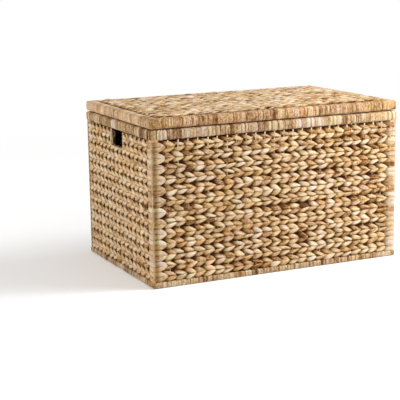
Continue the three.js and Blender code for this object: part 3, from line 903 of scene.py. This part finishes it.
def reed_finish(name, contrast, dark, rough, wash=WHITE):
    """Dried water hyacinth: long fibres that follow the strand, and blotches. Deep down in the weave it is
    painted in shade, warm at half shade and dark brown at full. Its tone, hue and depth of shade come from
    the strand's tint, and wash colours it all."""
    material, graph = surface(name)
    tint = graph.node("ShaderNodeAttribute", attribute_name="tint")[0]
    tone, hue, shade = graph.node("ShaderNodeSeparateColor", {0: tint})[:3]
    strand = graph.node("ShaderNodeUVMap", uv_map="strand")[0]
    place = graph.place()
    fibre = graph.clouds(graph.stretched(strand, FIBRES), 1.0, 3.0, 0.6)
    hair = graph.clouds(graph.stretched(strand, HAIRS), 1.0, 2.0, 0.5)
    blotch = graph.clouds(place, BLOTCHES, 3.0, 0.55)
    mottle = graph.clouds(place, MOTTLES, 2.0, 0.65)
    streaks = (fibre - 0.5) * (contrast * FIBRE_SHARE) + (hair - 0.5) * (contrast * HAIR_SHARE)
    spots = (mottle - 0.5) * (contrast * MOTTLE_SHARE) + (blotch - 0.5) * (contrast * BLOTCH_SHARE)
    colour = graph.ramp(REED_TONES, tone + streaks + spots)
    cast = graph.ramp(REED_HUES, hue + (blotch - 0.5) * 0.5)
    colour = graph.tinted(graph.tinted(colour, cast), wash)
    # Half shade is warm, and full shade is dark
    warmed = graph.blend(shade, colour, graph.tinted(colour, HALF_SHADE))
    shaded = graph.blend(shade, warmed, graph.tinted(colour, dark))
    return finished(material, graph, Base_Color=shaded, Specular_IOR_Level=0.12,
                    Roughness=rough + (fibre - 0.5) * 0.25,
                    Normal=graph.relief(fibre * 0.7 + hair * 0.3, 0.8, 1.1 * MM))


def timber_finish():
    """Plain softwood of the hidden frame: rings drawn out along the grain."""
    material, graph = surface("frame timber")
    place = graph.place()
    grain = graph.clouds(graph.stretched(place, (60.0, 60.0, 14.0)), 6.0, 4.0, 0.6)
    colour = graph.ramp([
        (0.3, paint(170, 128, 84)), (0.55, paint(205, 165, 118)), (0.75, paint(222, 188, 145))], grain)
    return finished(material, graph, Base_Color=colour, Roughness=0.55 + grain * 0.2, Specular_IOR_Level=0.3,
                    Normal=graph.relief(grain, 0.3, 0.3 * MM))


def board_finish():
    """Plywood base board: long face grain with soft flares and fine pores."""
    material, graph = surface("plywood board")
    place = graph.place()
    flare = graph.clouds(graph.stretched(place, (2.2, 26.0, 10.0)), 1.0, 3.0, 0.55)
    pores = graph.clouds(graph.stretched(place, (30.0, 700.0, 60.0)), 1.0, 2.0, 0.6)
    colour = graph.ramp([
        (0.34, paint(178, 136, 92)), (0.5, paint(208, 170, 124)), (0.66, paint(226, 194, 152))],
        flare * 0.75 + pores * 0.25)
    return finished(material, graph, Base_Color=colour, Roughness=0.5 + pores * 0.25, Specular_IOR_Level=0.35,
                    Normal=graph.relief(pores, 0.25, 0.2 * MM))


def steel_finish(name, bright, dull):
    """Aged steel of the hinges: drawn finish with darker, rougher patches."""
    material, graph = surface(name)
    place = graph.place()
    brushed = graph.clouds(graph.stretched(place, (40.0, 600.0, 900.0)), 1.0, 3.0, 0.6)
    worn = graph.clouds(place, 60.0, 4.0, 0.6)
    patch = graph.ramp([(0.45, paint(0, 0, 0)), (0.8, WHITE)], worn)
    drawn = graph.blend(brushed * 0.5, bright, dull)
    return finished(material, graph, Base_Color=graph.blend(patch, drawn, dull), Metallic=1.0,
                    Roughness=0.34 + worn * 0.25, Normal=graph.relief(brushed, 0.2, 0.1 * MM))


# The third value of each finish is the colour of its full painted shade
weave_reed = reed_finish("twined hyacinth", 1.15, paint(84, 46, 2), 0.62)
corner_reed = reed_finish("flat hyacinth turns", 0.95, paint(104, 72, 42), 0.6, paint(242, 246, 255))
body_strip = reed_finish("wound strip of the body", 1.15, paint(92, 60, 36), 0.56, paint(238, 245, 255))
lid_strip = reed_finish("wound strip of the lid", 1.15, paint(92, 62, 38), 0.56, paint(251, 251, 255))
cane = reed_finish("stake cane", 0.3, paint(120, 84, 52), 0.5)

# Pieces
for side in FACES:
    end_wall = side in END_WALLS
    twining = END_TWINING if end_wall else FRONT_TWINING if side == "front" else BACK_TWINING
    rim_winding, lid_winding = (END_RIM_WINDING, END_LID_WINDING) if end_wall else (RIM_WINDING, LID_WINDING)
    rim = bar_wrap(side, rim_low[2] + PLAY, rim_high[2] - PLAY, RIM_EDGE, BODY_ROUNDING, rim_winding)
    foot = bar_wrap(side, FLOOR_PLAY, base_high[2] - PLAY, FOOT_EDGE, BODY_ROUNDING, FOOT_WINDING)
    lid = bar_wrap(side, lid_low[2] + LID_LIFT, lid_high[2], LID_EDGE, LID_ROUNDING, lid_winding)
    piece(f"woven_rows_{side}", wall_rows(side, twining), weave_reed, "trunk", "weave", f"woven_wall_{side}")
    piece(f"stakes_{side}", wall_stakes(side), cane, "trunk", "weave", f"woven_wall_{side}")
    piece(f"rim_strip_{side}", rim, body_strip, "trunk", "body_wrap", f"rim_wrap_{side}")
    piece(f"foot_strip_{side}", foot, body_strip, "trunk", "body_wrap", f"base_wrap_{side}")
    piece(f"lid_strip_{side}", lid, lid_strip, "lid", "lid_wrap", f"lid_wrap_{side}")
for corner in CORNERS:
    solid = f"corner_wrap_{corner}"
    piece(f"corner_turns_{corner}", corner_straps(corner), corner_reed, "trunk", "body_wrap", solid)
    piece(f"post_strip_{corner}", post_wrap(corner), body_strip, "trunk", "body_wrap", solid)
for side in END_WALLS:
    solid = f"hand_hole_binding_{side}"
    piece(f"hole_binding_{side}", hole_binding(side), body_strip, "trunk", "body_wrap", solid)
piece("lid_rows", lid_rows(), weave_reed, "lid", "weave", "lid_woven_panel")

timber = timber_finish()
leaf_steel = steel_finish("aged hinge steel", paint(132, 120, 104), paint(84, 72, 60))
head_steel = steel_finish("worn screw steel", paint(206, 196, 178), paint(140, 126, 108))

# The solids that stay, by a word in their names. The last that fits counts.
kept = {"rail": timber, "post": timber, "board": board_finish(), "hinge": leaf_steel,
        "screw": head_steel, "pin": head_steel}
for name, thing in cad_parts.items():
    for word, material in kept.items():
        if word in name:
            for coat in thing.material_slots:
                coat.material = material


# Floor, light and camera
def seen_rays(graph):
    """1 for what the camera sees, directly, mirrored or through something clear, and 0 for light that falls
    on the trunk."""
    rays = graph.node("ShaderNodeLightPath")
    camera_ray, mirrored, through = rays[0], rays[3], rays[6]
    return camera_ray.either(mirrored).either(through)


# The floor as it lights the trunk, as the camera sees it and what it glows with, and where it clears
BOUNCED, MATT, GLOW = (0.8, 0.8, 0.8, 1), (0.88, 0.88, 0.875, 1), (0.19, 0.19, 0.19, 1)
CLEAR_FROM, CLEAR_TO = 1.3, 2.6


def floor_finish():
    """A white that takes a soft shadow near the trunk and, as the camera sees it, clears to plain white
    further out."""
    material, graph = surface("pale floor")
    plain = graph.node("ShaderNodeBsdfDiffuse", {0: BOUNCED})[0]
    matt = graph.node("ShaderNodeBsdfDiffuse", {0: MATT})[0]
    glow = graph.node("ShaderNodeEmission", {0: GLOW})[0]
    shaded = graph.node("ShaderNodeAddShader", {0: matt, 1: glow})[0]
    place = graph.place()
    away = graph.node("ShaderNodeVectorMath", {0: place}, operation="LENGTH")[1]
    far = graph.node("ShaderNodeMapRange", {"Value": away, "From Min": CLEAR_FROM, "From Max": CLEAR_TO},
                     interpolation_type="SMOOTHSTEP")[0]
    clear = graph.node("ShaderNodeEmission", {0: WHITE})[0]
    shown = graph.node("ShaderNodeMixShader", {0: far, 1: shaded, 2: clear})[0]
    mix = graph.node("ShaderNodeMixShader", {0: seen_rays(graph), 1: plain, 2: shown})[0]
    graph.node("ShaderNodeOutputMaterial", {0: mix})
    return material


FLOOR_HALF, FLOOR_TOP = 30, -0.5 * MM
floor_corners = [(-1, -1), (1, -1), (1, 1), (-1, 1)]
floor_points = [(x * FLOOR_HALF, y * FLOOR_HALF, FLOOR_TOP) for x, y in floor_corners]
floor_mesh = bpy.data.meshes.new("floor")
floor_mesh.from_pydata(floor_points, [], [(0, 1, 2, 3)])
floor = bpy.data.objects.new("floor", floor_mesh)
bpy.context.scene.collection.objects.link(floor)
floor.data.materials.append(floor_finish())

SKY, SKY_POWER = (0.97, 0.98, 1.0, 1), 0.5
studio = bpy.data.worlds.new("studio")
bpy.context.scene.world = studio
studio.use_nodes = True
around = Graph(studio.node_tree)
sky = around.node("ShaderNodeBackground", {0: SKY, 1: SKY_POWER})[0]
white = around.node("ShaderNodeBackground", {0: WHITE, 1: 1.0})[0]
backdrop = around.node("ShaderNodeMixShader", {0: seen_rays(around), 1: sky, 2: white})[0]
around.node("ShaderNodeOutputWorld", {0: backdrop})


LIGHT_AIM = Vector((0, 0, 0.2))


def light(name, kind, toward, power, tint, distance=0.0, **settings):
    """A light that faces the trunk from the given azimuth, from the front to the right, and elevation in
    degrees."""
    data = bpy.data.lights.new(name, kind)
    data.energy, data.color = power, tint
    for setting, value in settings.items():
        setattr(data, setting, value)
    azimuth, elevation = (math.radians(angle) for angle in toward)
    flat = math.cos(elevation)
    back = Vector((math.sin(azimuth) * flat, -math.cos(azimuth) * flat, math.sin(elevation)))
    thing = bpy.data.objects.new(name, data)
    thing.location = back * distance + LIGHT_AIM
    thing.rotation_mode = "QUATERNION"
    thing.rotation_quaternion = back.to_track_quat("Z", "Y")
    bpy.context.scene.collection.objects.link(thing)


WARM = (1.0, 0.99, 0.985)
light("window light", "SUN", (77.5, 27), 2.2, WARM, angle=math.radians(30))
light("near window", "AREA", (46, 30), 12, WARM, distance=1.25, shape="SQUARE", size=0.7)
light("left fill", "AREA", (-86, 14), 52, (1.0, 0.95, 0.88), distance=3.4, shape="SQUARE", size=2.4)

CAMERA_EYE = (-1.43350, -2.79404, 0.79243)
CAMERA_HEADING, CAMERA_PITCH, CAMERA_ROLL = -25.232, 11.602, -0.941
lens = bpy.data.cameras.new("camera")
lens.sensor_width, lens.lens = 36.0, 107.293
lens.clip_start, lens.clip_end = 0.05, 100
camera = bpy.data.objects.new("camera", lens)
bpy.context.scene.collection.objects.link(camera)
camera.matrix_world = (
    Matrix.Translation(CAMERA_EYE) @ Matrix.Rotation(math.radians(CAMERA_HEADING), 4, "Z")
    @ Matrix.Rotation(math.pi / 2 - math.radians(CAMERA_PITCH), 4, "X")
    @ Matrix.Rotation(math.radians(CAMERA_ROLL), 4, "Z"))
bpy.context.scene.camera = camera
bpy.context.scene.view_settings.view_transform = "Standard"
